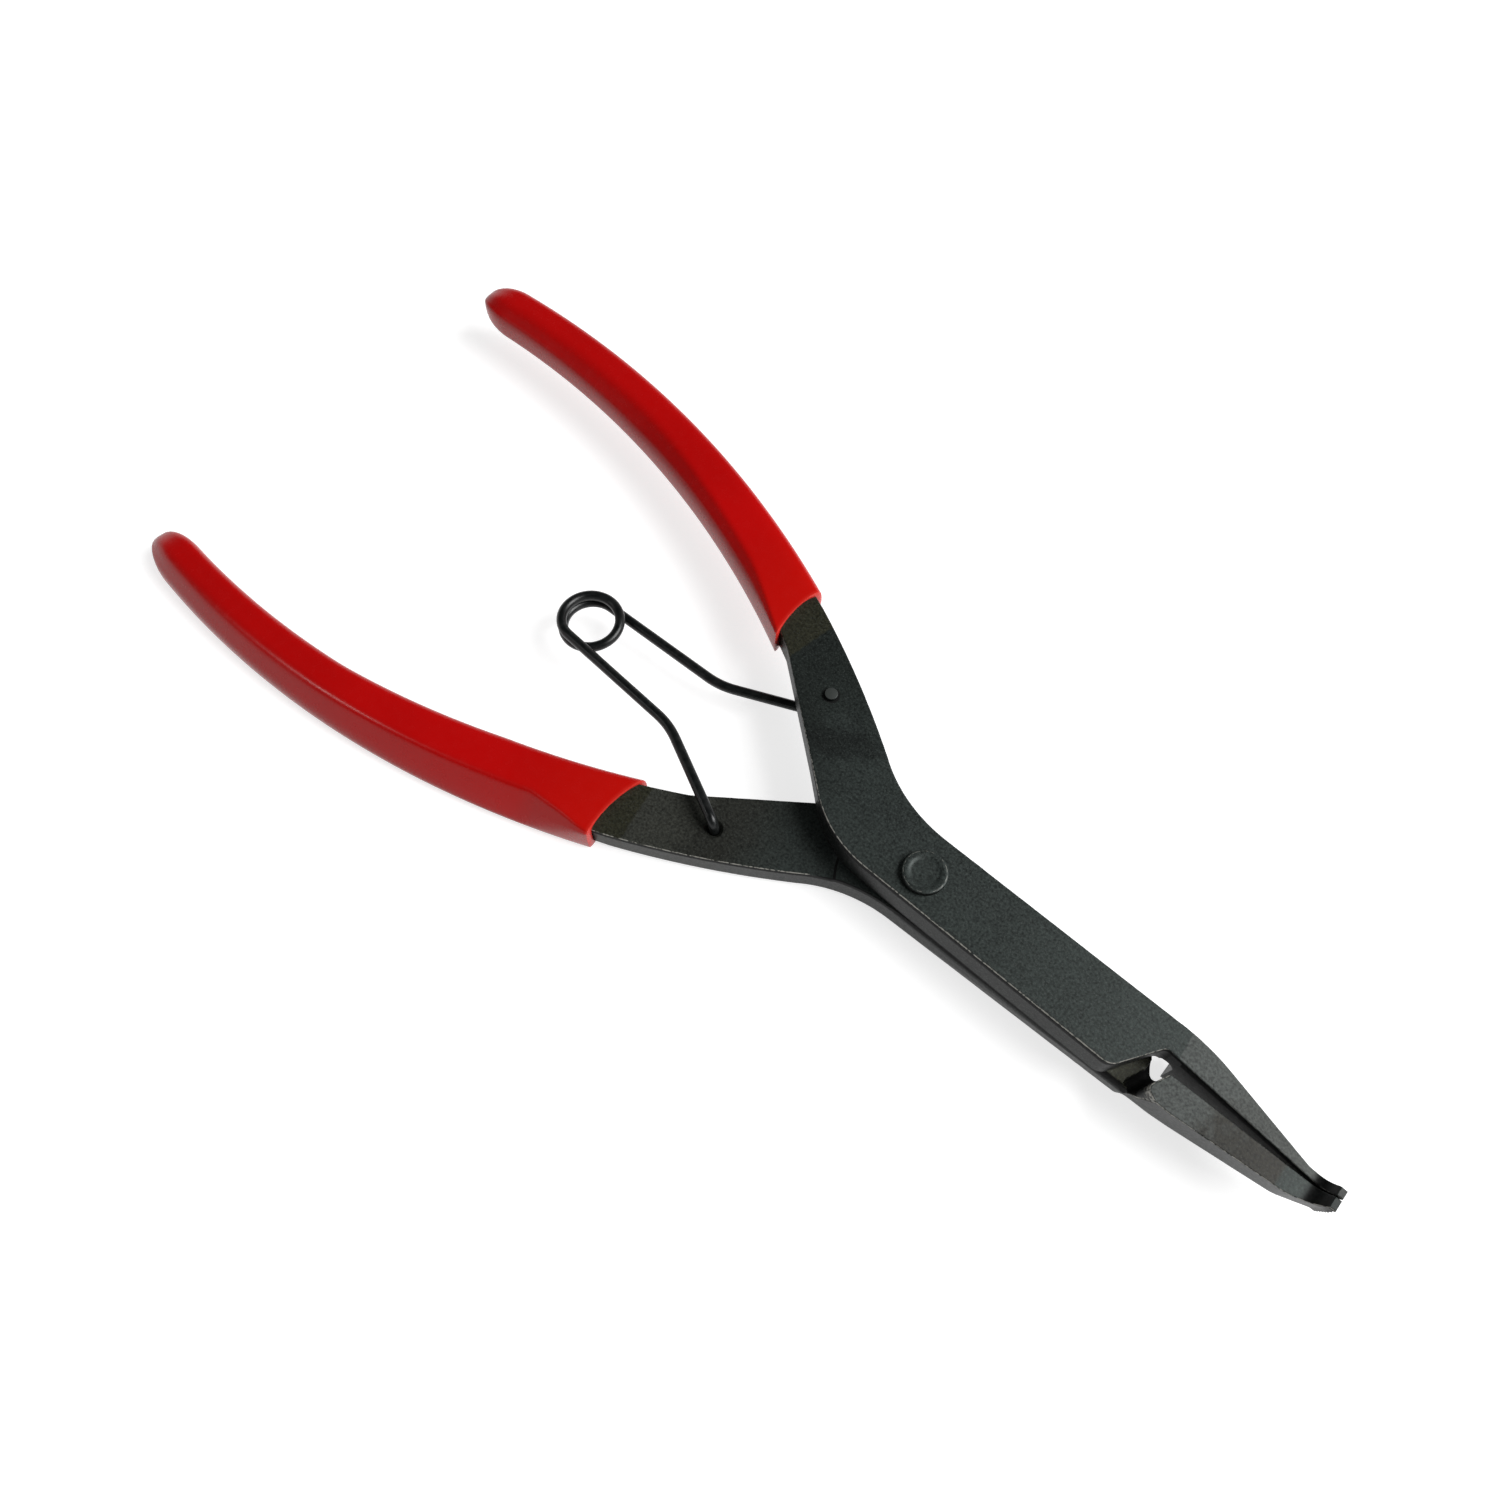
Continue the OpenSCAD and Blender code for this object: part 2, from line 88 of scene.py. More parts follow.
class Socket:
    """One output in a material's node tree, which can stand in sums as a number does."""

    def __init__(self, tree, end=None):
        self.tree = tree
        self.end = end

    def node(self, kind, settings, inputs, out=0):
        """Adds a node, with its settings made first, and gives one of its outputs."""
        made = self.tree.nodes.new("ShaderNode" + kind)
        for name, value in settings.items():
            setattr(made, name, value)
        for name, value in inputs.items():
            if isinstance(value, Socket):
                self.tree.links.new(value.end, made.inputs[name])
            else:
                made.inputs[name].default_value = value
        return Socket(self.tree, made.outputs[out] if len(made.outputs) else None)

    def math(self, operation, *others):
        return self.node("Math", {"operation": operation}, dict(enumerate((self,) + others)))

    def __add__(self, other):
        return self.math("ADD", other)

    def __sub__(self, other):
        return self.math("SUBTRACT", other)

    def __rsub__(self, other):
        return self.math("MULTIPLY_ADD", -1, other)

    def __mul__(self, other):
        return self.math("MULTIPLY", other)

    __radd__ = __add__
    __rmul__ = __mul__

    def __abs__(self):
        return self.math("ABSOLUTE")

    def step(self, low, high):
        """A soft step from 0 at low to 1 at high."""
        settings = {"interpolation_type": "SMOOTHSTEP"}
        return self.node("MapRange", settings, {"Value": self, "From Min": low, "From Max": high})

    def between(self, first, second):
        """The colour between two colours, with this value as the share of the second."""
        return self.node("Mix", {"data_type": "RGBA"}, {0: self, 6: first, 7: second}, out=2)

    def scale(self, colour):
        """A colour times this value."""
        return self.node("VectorMath", {"operation": "SCALE"}, {0: colour, "Scale": self})

    def noise(self, scale, detail=2, stretch=(1, 1, 1)):
        """Noise over this place, with scale in waves per millimetre."""
        place = self.node("VectorMath", {"operation": "MULTIPLY"}, {0: self, 1: stretch})
        return place.node("TexNoise", {}, {"Vector": place, "Scale": scale, "Detail": detail})

    def part(self, letter):
        return self.node("SeparateXYZ", {}, {0: self}, out=letter)


def start_material(name):
    """An empty node material, and the place on the piece in millimetres."""
    made = bpy.data.materials.new(name)
    made.use_nodes = True
    made.node_tree.nodes.clear()
    at = Socket(made.node_tree).node("TexCoord", {}, {}, out="Object")
    return made, at.node("VectorMath", {"operation": "SCALE"}, {0: at, "Scale": 1 / MM})


def end_material(place, **inputs):
    """The shader that ends a material. Words in a socket's name are joined by _ here."""
    shader = place.node("BsdfPrincipled", {}, {name.replace("_", " "): v for name, v in inputs.items()})
    place.node("OutputMaterial", {}, {"Surface": shader})


def rays(place, *kinds):
    """1 for the kinds of rays that are named, and 0 for the others."""
    return sum(place.node("LightPath", {}, {}, out=f"Is {kind} Ray") for kind in kinds)


table_paint, place = start_material("table_paint")
seen = rays(place, "Camera", "Glossy", "Transmission")
end_material(place, Base_Color=TABLE_COLOUR, Roughness=0.9, Specular_IOR_Level=0.1,
    Emission_Color=seen.scale((1, 1, 1)), Emission_Strength=TABLE_LIFT)
table = bpy.data.meshes.new("table")
floor_z = cad_box[0].z
signs = ((-1, -1), (1, -1), (1, 1), (-1, 1))
table.from_pydata([(x * TABLE_HALF, y * TABLE_HALF, floor_z) for x, y in signs], [], [(0, 1, 2, 3)])
table.materials.append(table_paint)
floor = bpy.data.objects.new("table", table)
bpy.context.scene.collection.objects.link(floor)

room = bpy.data.worlds.new("room")
room.use_nodes = True
room.node_tree.nodes.clear()
walls = Socket(room.node_tree)
seen = rays(walls, "Camera", "Glossy", "Transmission")
# The backdrop's edge is given as sines of the height over the table.
ceiling = walls.node("TexCoord", {}, {}, out="Generated").part("Z").step(*BACKDROP_EDGE)
mirrored = rays(walls, "Glossy", "Transmission")
light = ROOM_LIGHT + seen * (1 - ROOM_LIGHT) - mirrored * ceiling * (1 - CEILING_LIGHT)
backdrop = walls.node("Background", {}, {"Color": (1, 1, 1, 1), "Strength": light})
walls.node("OutputWorld", {}, {"Surface": backdrop})
bpy.context.scene.world = room


def soft_lamp(name, at, aim, size, power):
    """A square lamp with its face toward a point, both in millimetres."""
    lamp = bpy.data.objects.new(name, bpy.data.lights.new(name, "AREA"))
    lamp.data.size = size * MM
    lamp.data.energy = power
    lamp.location = Vector(at) * MM
    lamp.rotation_euler = (Vector(aim) - Vector(at)).to_track_quat("-Z", "Y").to_euler()
    bpy.context.scene.collection.objects.link(lamp)


soft_lamp("nose_panel", at=(640, 430, 730), aim=(-40, 0, 0), size=700, power=17)
soft_lamp("front_lamp", at=(-540, -580, 640), aim=(-90, -20, 0), size=100, power=0.55)

# Members: each is one forging with its handle and its jaw on the same side of the axis, lapped
# flat on the other at the rivet. Black oxide, with the jaws' tops ground and the edges rubbed bright.
LOW_UNDER = 1.0
LOW_LAP = 6.5
LOW_HANDLE = 6.0
UP_LAP = 6.6
UP_HANDLE = 7.1
JAW_TOP = 12.1
MOUTH = 47.6
HANDLE_OFF = 43.9
BOW_END = 133.0
BOW_R = 196.0
TANG_W = 4.65
TANG_END_W = 3.1
WIDE_END = 105.0
WIDE_RUN = 35.0
OUT_FROM = 20.0
NECK_OUT = (-1.0, 28.0, 35.2)
NECK_IN = (-8.2, 22.0, 38.5)
NECK_W = 7.1
TANG_SLIM = 0.63
PLATE_OVER = 5.5
PLATE_SLANT = math.radians(57)
CORNER_R = 2.5
NOTCH_R = 1.3
NOTCH_H = 0.1
LAP_R = 14.2
TIP_X = 73.6
TIP_GAP = 0.1
TIP_RISE = 6.0
JAW_START = 46.0
GROOVE_R = 1.2
LIP_H = 2.0
LIP_R = 3.0
LIP_T = 0.85
TIP_FLAT = 1.4
TEETH = 6
TOOTH_D = 0.25
SLIM_RUN = (1.5, 14.0)
HANDLE_RINGS = 32
NECK_RINGS = 64
NECK_STEPS = 20
OWN_STEPS = 14
OTHER_STEPS = 6
LAP_STEP = (-0.2, 0.8)
LAP_STEP_TO = -2.0
JOINT_END = 35.0


def bow(x):
    """Distance of the handle's centre line from the axis, at x behind the rivet."""
    return HANDLE_OFF - BOW_R + math.sqrt(BOW_R ** 2 - (BOW_END - x) ** 2)


def on_bow(x, out):
    """Plan point beside the handle's centre line, out toward its own side."""
    tilt = math.asin((BOW_END - x) / BOW_R)
    return np.array((out * math.sin(tilt) - x, out * math.cos(tilt) + bow(x)))


def tang_half(x, far):
    """Half width of the steel handle at x behind the rivet."""
    return TANG_W + (TANG_END_W - TANG_W) * (x - MOUTH) / (far - MOUTH)


def tang_in(x, far, wide):
    """The same on the inner side, where a handle can be wider near the joint."""
    return tang_half(x, far) + wide * min(1, max(0, (WIDE_END - x) / WIDE_RUN))


def arc(centre, radius, start, end, steps):
    """Plan points of an arc, with its angles in degrees."""
    turns = np.radians(np.linspace(start, end, steps + 1))
    return [np.array(centre) + radius * np.array((math.cos(t), math.sin(t))) for t in turns]


def even(points, count):
    """Points at even steps along a line of points."""
    points = np.array(points)
    run = np.concatenate(([0], np.cumsum(np.linalg.norm(np.diff(points, axis=0), axis=1))))
    at = np.linspace(0, run[-1], count)
    return np.column_stack((np.interp(at, run, points[:, 0]), np.interp(at, run, points[:, 1])))


def inner_edge(x, slit, plate_end, notch_x):
    """The nose's edge toward the other member: joint plate, slanted front, notch and slit."""
    notch_y = slit + NOTCH_H - NOTCH_R
    corner_y = CORNER_R - PLATE_OVER
    corner = PLATE_SLANT - math.pi / 2
    # The slanted front meets the notch's circle 30 degrees up from its middle.
    front = (plate_end + CORNER_R * math.cos(corner), notch_x - NOTCH_R * math.cos(math.radians(30)))
    notch_out = notch_x + math.sqrt(NOTCH_R ** 2 - (NOTCH_R - NOTCH_H) ** 2)
    if x < plate_end:
        return -PLATE_OVER
    if x < front[0]:
        return corner_y - math.sqrt(CORNER_R ** 2 - (x - plate_end) ** 2)
    if x < front[1]:
        return np.interp(x, front, (corner_y + CORNER_R * math.sin(corner), notch_y + NOTCH_R / 2))
    if x < notch_out:
        return notch_y + math.sqrt(NOTCH_R ** 2 - (x - notch_x) ** 2)
    return np.interp(x, (notch_out, TIP_X - TIP_FLAT), (slit, TIP_GAP))


def soft_step(x, low, high):
    """A soft step from 0 at low to 1 at high."""
    t = min(1, max(0, (x - low) / (high - low)))
    return t * t * (3 - 2 * t)


def handle_lines(far, nose_w, in_from, wide):
    """Lines across a member from the handle's end to the joint: own side, then other side."""
    lines = []
    for x in np.linspace(far, MOUTH, HANDLE_RINGS):
        slim = 1 - TANG_SLIM * soft_step(x, MOUTH + SLIM_RUN[0], MOUTH + SLIM_RUN[1])
        lines.append((on_bow(x, slim * tang_half(x, far)), on_bow(x, -slim * tang_in(x, far, wide))))
    own = [on_bow(x, tang_half(x, far)) for x in np.linspace(MOUTH, OUT_FROM, OWN_STEPS)]
    other = [on_bow(x, -tang_in(x, far, wide)) for x in np.linspace(MOUTH, in_from, OTHER_STEPS)]
    x, radius, turn = NECK_OUT
    x += (NECK_W - nose_w) / math.tan(math.radians(turn))
    own += arc((x, nose_w + radius), radius, -90 - turn, -90, NECK_STEPS)
    x, radius, turn = NECK_IN
    other += arc((x, radius - PLATE_OVER), radius, -90 - turn, -90, NECK_STEPS)
    return lines + list(zip(even(own, NECK_RINGS), even(other, NECK_RINGS)))[1:]


ACROSS = np.array((0, 0.02, 0.06, 0.13, 0.21, 0.29, 0.37, 0.45, 0.55, 0.63, 0.71, 0.79, 0.87, 0.94, 0.98, 1))
UP_THE_SIDE = np.linspace(0, 1, 2 * TEETH + 3)
ROUND = np.radians((22.5, 45, 67.5))
ROUND_WEAR = (0.6, 1, 0.6)
# Painted shade just under a top edge: its shares at the top of the side, and where along the member it lies.
UNDER_EDGE_SHADE = (-1, -0.9, -0.6)
EDGE_SHADE_FROM = -20
EDGE_SHADE_TO = 44
EDGE_R = ((43, 46, 68), (0.26, 0.2, 0.17))
EDGE_WAVES = 0.9
EDGE_UNEVEN = 0.3


def section(line, rules, rub_and_shade):
    """One closed ring of a member. Its wear share is over 0 where rubbed and under 0 where shade is painted.
    """
    bend, high, low, own_shift, other_shift = rules
    own_rub_and_shade, other_rub, under_shade, top_rub = rub_and_shade
    own, other = line
    width = np.linalg.norm(other - own)

    def at(v, z):
        x, y = own + (other - own) * v / width
        return np.array((x + bend(x, y), y, z))

    def height(rule, v):
        x, y, z = at(v, 0)
        return rule(x, y)

    x, y = own
    uneven = noise.noise(Vector((x * EDGE_WAVES, y * EDGE_WAVES, 3)))
    edge = np.interp(x, *EDGE_R) * (1 + EDGE_UNEVEN * uneven)

    def own_side(z):
        return -own_shift(x, z)

    def other_side(z):
        return width + other_shift(x, z)

    own_top, own_under = height(high, 0), height(low, 0)
    other_top, other_under = height(high, width), height(low, width)
    ring, wear_and_shade = [], []

    def add(v, z, share=0):
        ring.append(at(v, z))
        wear_and_shade.append(share)

    for t in ACROSS:
        v = own_side(own_top) + edge + t * (other_side(other_top) - own_side(own_top) - 2 * edge)
        add(v, height(high, v), top_rub(*at(v, 0)[:2]))
    for a, w in zip(ROUND, ROUND_WEAR):
        v = other_side(other_top) - edge * (1 - math.sin(a))
        add(v, other_top - edge * (1 - math.cos(a)), w * other_rub(x))
    for i, t in enumerate(UP_THE_SIDE):
        z = other_top - edge + t * (other_under - other_top + 2 * edge)
        share = under_shade(x) if t == 1 else 0
        if i < len(UNDER_EDGE_SHADE):
            share = UNDER_EDGE_SHADE[i] * (x > EDGE_SHADE_FROM)
        add(other_side(z), z, share)
    for a in ROUND:
        v = other_side(other_under) - edge * (1 - math.cos(a))
        add(v, other_under + edge * (1 - math.sin(a)), under_shade(x))
    for t in ACROSS:
        v = other_side(other_under) - edge + t * (own_side(own_under) - other_side(other_under) + 2 * edge)
        add(v, height(low, v))
    for a in ROUND:
        add(own_side(own_under) + edge * (1 - math.sin(a)), own_under + edge * (1 - math.cos(a)))
    for i, t in enumerate(UP_THE_SIDE):
        z = own_under + edge + t * (own_top - own_under - 2 * edge)
        left = len(UP_THE_SIDE) - 1 - i
        add(own_side(z), z, UNDER_EDGE_SHADE[left] if left < len(UNDER_EDGE_SHADE) and x < EDGE_SHADE_TO else 0)
    for a, w in zip(ROUND, ROUND_WEAR):
        add(own_side(own_top) + edge * (1 - math.cos(a)), own_top - edge * (1 - math.sin(a)), w * own_rub_and_shade(x))
    return ring, wear_and_shade


def skin(name, rings, wear_and_shade=None, end_cap=True):
    """A mesh over rings of points in millimetres, joined one to the next and closed at the ends."""
    count = len(rings[0])
    points = [tuple(Vector(p) * MM) for ring in rings for p in ring]
    faces = []
    for r in range(len(rings) - 1):
        for k in range(count):
            n = (k + 1) % count
            faces.append((r * count + k, r * count + n, (r + 1) * count + n, (r + 1) * count + k))
    last = (len(rings) - 1) * count
    faces.append(tuple(reversed(range(count))))
    if end_cap:
        faces.append(tuple(range(last, last + count)))
    made = bpy.data.meshes.new(name)
    made.from_pydata(points, [], faces)
    if wear_and_shade:
        made.attributes.new("wear_and_shade", "FLOAT", "POINT").data.foreach_set("value", np.ravel(wear_and_shade))
    return made


RING_WEAR = 0.55


def lathe(name, profile, at=(0, 0), sides=48, worn=()):
    """A turned mesh about an upright axis, from pairs of radius and height."""
    turns = np.radians(np.arange(sides) * 360 / sides)
    rings = [[(at[0] + r * math.cos(t), at[1] + r * math.sin(t), z) for t in turns] for r, z in profile]
    return skin(name, rings, [[RING_WEAR if i in worn else 0] * sides for i in range(len(profile))])


def tidy(mesh, *more):
    """Joins meshes into the first one, with all faces looking outward."""
    work = bmesh.new()
    for each in (mesh,) + more:
        work.from_mesh(each)
    bmesh.ops.recalc_face_normals(work, faces=work.faces)
    work.to_mesh(mesh)
    work.free()


def drill(mesh, profile, at=(0, 0)):
    """The same mesh with a turned hole cut out of it."""
    tool_mesh = lathe("drill", profile, at)
    tidy(mesh)
    tidy(tool_mesh)
    body = bpy.data.objects.new("body", mesh)
    tool = bpy.data.objects.new("drill", tool_mesh)
    for each in (body, tool):
        bpy.context.scene.collection.objects.link(each)
    cut = body.modifiers.new("hole", "BOOLEAN")
    cut.operation = "DIFFERENCE"
    cut.solver = "EXACT"
    cut.object = tool
    bpy.context.view_layer.update()
    made = bpy.data.meshes.new_from_object(body.evaluated_get(bpy.context.evaluated_depsgraph_get()))
    for each in (body, tool):
        bpy.data.objects.remove(each)
    return made


def place_piece(mesh, name, paint, body, node, crease=40):
    """Puts a finished mesh on its body, in the place of its plain solid."""
    tidy(mesh)
    mesh.shade_smooth()
    mesh.set_sharp_from_angle(angle=math.radians(crease))
    mesh.materials.clear()
    mesh.materials.append(paint)
    piece = bpy.data.objects.new(name, mesh)
    bpy.context.scene.collection.objects.link(piece)
    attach(piece, body)
    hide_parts(node)


def toothed(ring):
    """The end ring of a tip, with the grip teeth cut into its end face."""
    side = len(UP_THE_SIDE)
    start = len(ACROSS) + len(ROUND)
    back = start + side + 2 * len(ROUND) + len(ACROSS)
    cut = [p.copy() for p in ring]
    for j in range(1, side - 1, 2):
        cut[start + j][0] -= TOOTH_D
        cut[back + side - 1 - j][0] -= TOOTH_D
    return cut


def tip_face(ring_start):
    """Faces of a tip's end: one strip between each pair of points up its two sides."""
    side = len(UP_THE_SIDE)
    start = ring_start + len(ACROSS) + len(ROUND)
    back = start + side + 2 * len(ROUND) + len(ACROSS)
    end = ring_start + 2 * (len(ACROSS) + side) + 4 * len(ROUND)
    strips = [(start + j, start + j + 1, back + side - 2 - j, back + side - 1 - j) for j in range(side - 1)]
    top = tuple(range(ring_start, start + 1)) + tuple(range(back + side - 1, end))
    under = tuple(range(start + side - 1, back + 1))
    return strips + [top, under]


def forge(name, side, lines, rules, rub_and_shade):
    """A member's mesh: its sections skinned over, with teeth on the end face of the tip."""
    made = [section(line, rules, rub_and_shade) for line in lines]
    rings = [[(x, side * y, z) for x, y, z in ring] for ring, wear_and_shade in made]
    rings[-1] = [(x, side * y, z) for x, y, z in toothed(made[-1][0])]
    mesh = skin(name, rings, [wear_and_shade for ring, wear_and_shade in made], end_cap=False)
    work = bmesh.new()
    work.from_mesh(mesh)
    work.verts.ensure_lookup_table()
    for face in tip_face((len(rings) - 1) * len(rings[0])):
        work.faces.new([work.verts[i] for i in face])
    work.to_mesh(mesh)
    work.free()
    return mesh


def lip_rise(x):
    """How far the turned-up lip stands over the jaw's top."""
    run = x - (TIP_X - LIP_T - LIP_R)
    return min(LIP_H, LIP_R - math.sqrt(max(0, LIP_R ** 2 - run ** 2))) if run > 0 else 0


def jaw_under(x):
    """How far the jaw's underside has risen toward the tip."""
    return TIP_RISE * max(0, (x - JAW_START) / (TIP_X - JAW_START))


def groove(gap):
    """Depth of the round groove at the foot of a jaw, at a distance behind the jaw's back."""
    return math.sqrt(max(0, GROOVE_R ** 2 - (gap - GROOVE_R) ** 2))


def joint_step(x, y):
    """Share of the step from the raised joint face down to the handle."""
    return soft_step(math.hypot(x, y), LAP_R + LAP_STEP[0], LAP_R + LAP_STEP[1]) * (x < LAP_STEP_TO)


# Oxide finish: greenish near-black with a fine forged grain, browner in the band beside the grip,
# lighter on the ground jaws and bright where an edge is rubbed, with painted shade just under the
# edges, between the plates, in hollows, on the upright sides and on the upper handle, and painted glints.
FORGED = (0.0230, 0.0295, 0.0272, 1)
# A half-bright copy of the forged colour, as painted shade on the upper handle.
HANDLE_SHADED = (0.0115, 0.0152, 0.0135, 1)
HANDLE_BROWN = (0.0212, 0.0222, 0.0185, 1)
BAND_OLIVE = (0.0225, 0.0230, 0.0135, 1)
GROUND_GREY = (0.046, 0.051, 0.048, 1)
GROUND_BROWN = (0.0150, 0.0132, 0.0095, 1)
RUBBED_STEEL = (0.42, 0.41, 0.37, 1)
# Painted glints of the grain, as lighter flecks.
FLECK_GLINT = (0.085, 0.095, 0.09, 1)
# Painted shade: near-black under the edges, between the plates, in the groove and round the stud.
SHADE_BLACK = (0.002, 0.002, 0.002, 1)
GRAIN_WAVES = 2.3
GRAIN_DEPTH = 0.05
FLECK_WAVES = 4.2
FLECK_SHARE = 0.3
GROUND_FLECK = 0.15
CLOUD_WAVES = 0.09
CLOUD_SHIFT = 26
BRUSH_WAVES = 0.8
BRUSH_STRETCH = (0.5, 1.5, 1)
HANDLE_FADE = (-22, -4)
SMUDGE_SPREAD = (0.11, 0.28)
SMUDGE_SLANT = 0.45
SMUDGE_DEPTH = 0.45
PALE_GAIN = 0.6
LAP_BAND_FROM = 38
STAIN_WAVES = 0.3
STAIN_FROM = 56
STAIN_RISE = 0.035
# Painted shade on the upright sides, as shares of the tops' colour along the member, lighter on the jaws.
SIDE_FROM = -22
SIDE_SHADING = 0.15
JAW_SIDE_FROM = 45
JAW_SIDE_SHADING = 0.3
FILLET_SHADE = 0.93
LIP_LIGHT = 0.45
RUB_WAVES = 1.5
OXIDE_ROUGH = 0.46
OXIDE_METAL = 0.3
OXIDE_SHINE = 0.27
IN_GRIP = -99


def oxide(name, handle, handle_side_shading, pale_x, stained, ground_mask, shade_mask, band_slant, band_x, smudge):
    """The finish of one piece. A mark that it lacks is set at IN_GRIP, where nothing shows."""
    paint, place = start_material(name)
    x, y, z = (place.part(letter) for letter in "XYZ")
    normal = place.node("NewGeometry", {}, {}, out="Normal")
    up = normal.part("Z")
    grain = place.noise(GRAIN_WAVES, 3)
    glint_fleck = place.noise(FLECK_WAVES, 1).step(0.54, 0.74)
    cloud = place.noise(CLOUD_WAVES, 3)
    brushed = place.noise(BRUSH_WAVES, 3, BRUSH_STRETCH)
    worn = place.node("Attribute", {"attribute_name": "wear_and_shade"}, {}, out="Fac")
    # From the handle's colour to the forged one: painted shade on the upper member, a browner tone on the
    # lower.
    colour = (x + cloud * CLOUD_SHIFT).step(*HANDLE_FADE).between(handle, FORGED)
    # A darker smudge, and paler steel behind pale_x.
    dark_x = (x - smudge[0]) * SMUDGE_SPREAD[0]
    dark_y = (abs(y) - smudge[1] - (x - smudge[0]) * SMUDGE_SLANT) * SMUDGE_SPREAD[1]
    dark = 1 - (dark_x * dark_x + dark_y * dark_y + (brushed - 0.5) * 1.4).step(0.3, 1.2)
    colour = (1 - dark * SMUDGE_DEPTH * up.step(0.5, 0.9)).scale(colour)
    ahead = (x - pale_x + (cloud - 0.5) * 8).step(-2, 2)
    colour = (1 + PALE_GAIN - ahead * PALE_GAIN).scale(colour)
    # Olive in the band beside the grip, and on the lap face before the jaw.
    band = 1 - (x - abs(y) * band_slant - band_x + (brushed - 0.5) * 0.8).step(-0.3, 0.3)
    lap = (x - LAP_BAND_FROM).step(0, 3) * (1 - (z - LOW_LAP).step(0.2, 0.5)) * up.step(0.2, 0.6)
    colour = (band + lap).between(colour, BAND_OLIVE)
    # The jaws' ground tops, stained brown toward the tip.
    ground_share = ground_mask(x, abs(y), z) * up.step(0.6, 0.95)
    stain = (place.noise(STAIN_WAVES, 3) + (x - STAIN_FROM) * STAIN_RISE).step(0.35, 0.65)
    colour = ground_share.between(colour, (stain * stained).between(GROUND_GREY, GROUND_BROWN))
    # Painted shade: the upright sides, which mirror the white table, are painted darker than the tops, most
    # of all near the joint and nose, and less on the jaws.
    side_shading = handle_side_shading + (x - SIDE_FROM).step(-4, 4) * (SIDE_SHADING - handle_side_shading)
    side_shading = side_shading + (x - JAW_SIDE_FROM).step(0, 3) * JAW_SIDE_SHADING
    colour = (side_shading + up.step(0.3, 0.8) * (1 - side_shading)).scale(colour)
    rough_grain = -0.4 + grain * 2.4 + (cloud - 0.5) * 0.5 + brushed * 0.4
    colour = rough_grain.math("MAXIMUM", 0.3).scale(colour)
    # Lighter flecks, partly the grain's own tone and partly painted glints, fewer on the ground tops.
    colour = (glint_fleck * (FLECK_SHARE - ground_share * GROUND_FLECK)).between(colour, FLECK_GLINT)
    # Shade in the fillet before the turned-up lip, and less of it on the lip's top.
    fillet = (x - TIP_X + LIP_T + LIP_R).step(-0.6, 0.6) * (1 - normal.part("X").step(0.3, 0.7))
    lip_top = (z - JAW_TOP - LIP_H).step(-0.2, 0)
    colour = (1 - fillet * (FILLET_SHADE - lip_top * LIP_LIGHT)).scale(colour)
    # Bright steel on rubbed edges, and painted shade under them, between the plates and in the corners.
    rubbed = (worn * (0.45 + place.noise(RUB_WAVES, 3).step(0.3, 0.6) * 0.7)).step(0.35, 0.9)
    colour = (rubbed * 0.85).between(colour, RUBBED_STEEL)
    painted_shade = (worn * -1 + shade_mask(x, y, z, normal)).step(0.1, 0.8)
    colour = painted_shade.between(colour, SHADE_BLACK)
    rough = OXIDE_ROUGH + (grain - 0.5) * 0.3 - ground_share * 0.04 + painted_shade * 0.3
    bump = place.node("Bump", {}, {"Strength": 0.35, "Distance": GRAIN_DEPTH * MM, "Height": grain})
    end_material(place, Base_Color=colour, Roughness=rough, Metallic=OXIDE_METAL, Normal=bump,
        Specular_IOR_Level=OXIDE_SHINE)
    return paint


# Lower member: its jaw stands up to the full depth behind the slit, with a round back corner and
# a groove between it and the lap face, and its outer side leans inward to the underside.
LOWER_FAR = 148.0
LOWER_IN_FROM = 37.0
LOWER_WIDE = 1.35
LOWER_NOSE_W = 6.3
LOWER_SHOULDER = (44.0, 5.5)
LOWER_BULGE = (49.5, 5.5)
LOWER_CHEEK = (68.0, 3.7)
LOWER_TIP_W = 2.0
LOWER_SLIT = 0.5
LOWER_PLATE_END = 40.4
LOWER_NOTCH_X = 46.5
LOWER_BACK = 46.72
BACK_AT = 46.95
BACK_SLANT = 0.46
BACK_ROUND = 3.2
BACK_ROUND_FROM = 3.0
BACK_ROUND_RUN = 2.5
BACK_LIMIT = 48.2
BACK_FOLLOW = (40.5, 53.0)
BACK_EDGE = 0.3
PLATE_DRAFT = 0.85
LAP_DRAFT = 0.8
LAP_DRAFT_Z = 5.0
LAP_DRAFT_FADE = 1.2
JAW_LEAN = math.tan(math.radians(7.5))
JAW_BLEND = (43.4, 46.4)
PIVOT_HOLE_R = 2.5
LOWER_DRILL = (-1, 9)
HOLE = np.array((-32.5, -15.3))
HOLE_R = 1.05
SINK_R = 1.65
SINK_D = 0.6
LOWER_GROUND_Z = 11.6
LOWER_GROUND_END = 66
# Heights and reach of the painted shade in the groove and on the jaw's back.
GROOVE_SHADE_Z = 6.2
GROOVE_SHADE_X = (43, 47.5)
BACK_SHADE_Z = 11.3
# Rubbed at the ends of the lower outer top edge, with painted shade between where the upper plate lies over
# it.
LOWER_RUB_AND_SHADE = ((-15, -13, 43, 46), (0.8, -1, -1, 0.8))
BACK_RUB = 0.8
FAINT_RUB = 0.3


def lower_outer(x):
    """The outer edge of the lower nose, from the neck to the tip."""
    points = ((NECK_OUT[0], LOWER_NOSE_W), LOWER_SHOULDER, LOWER_BULGE, LOWER_CHEEK,
        (TIP_X - LIP_T, LOWER_TIP_W))
    return np.interp(x, *zip(*points))


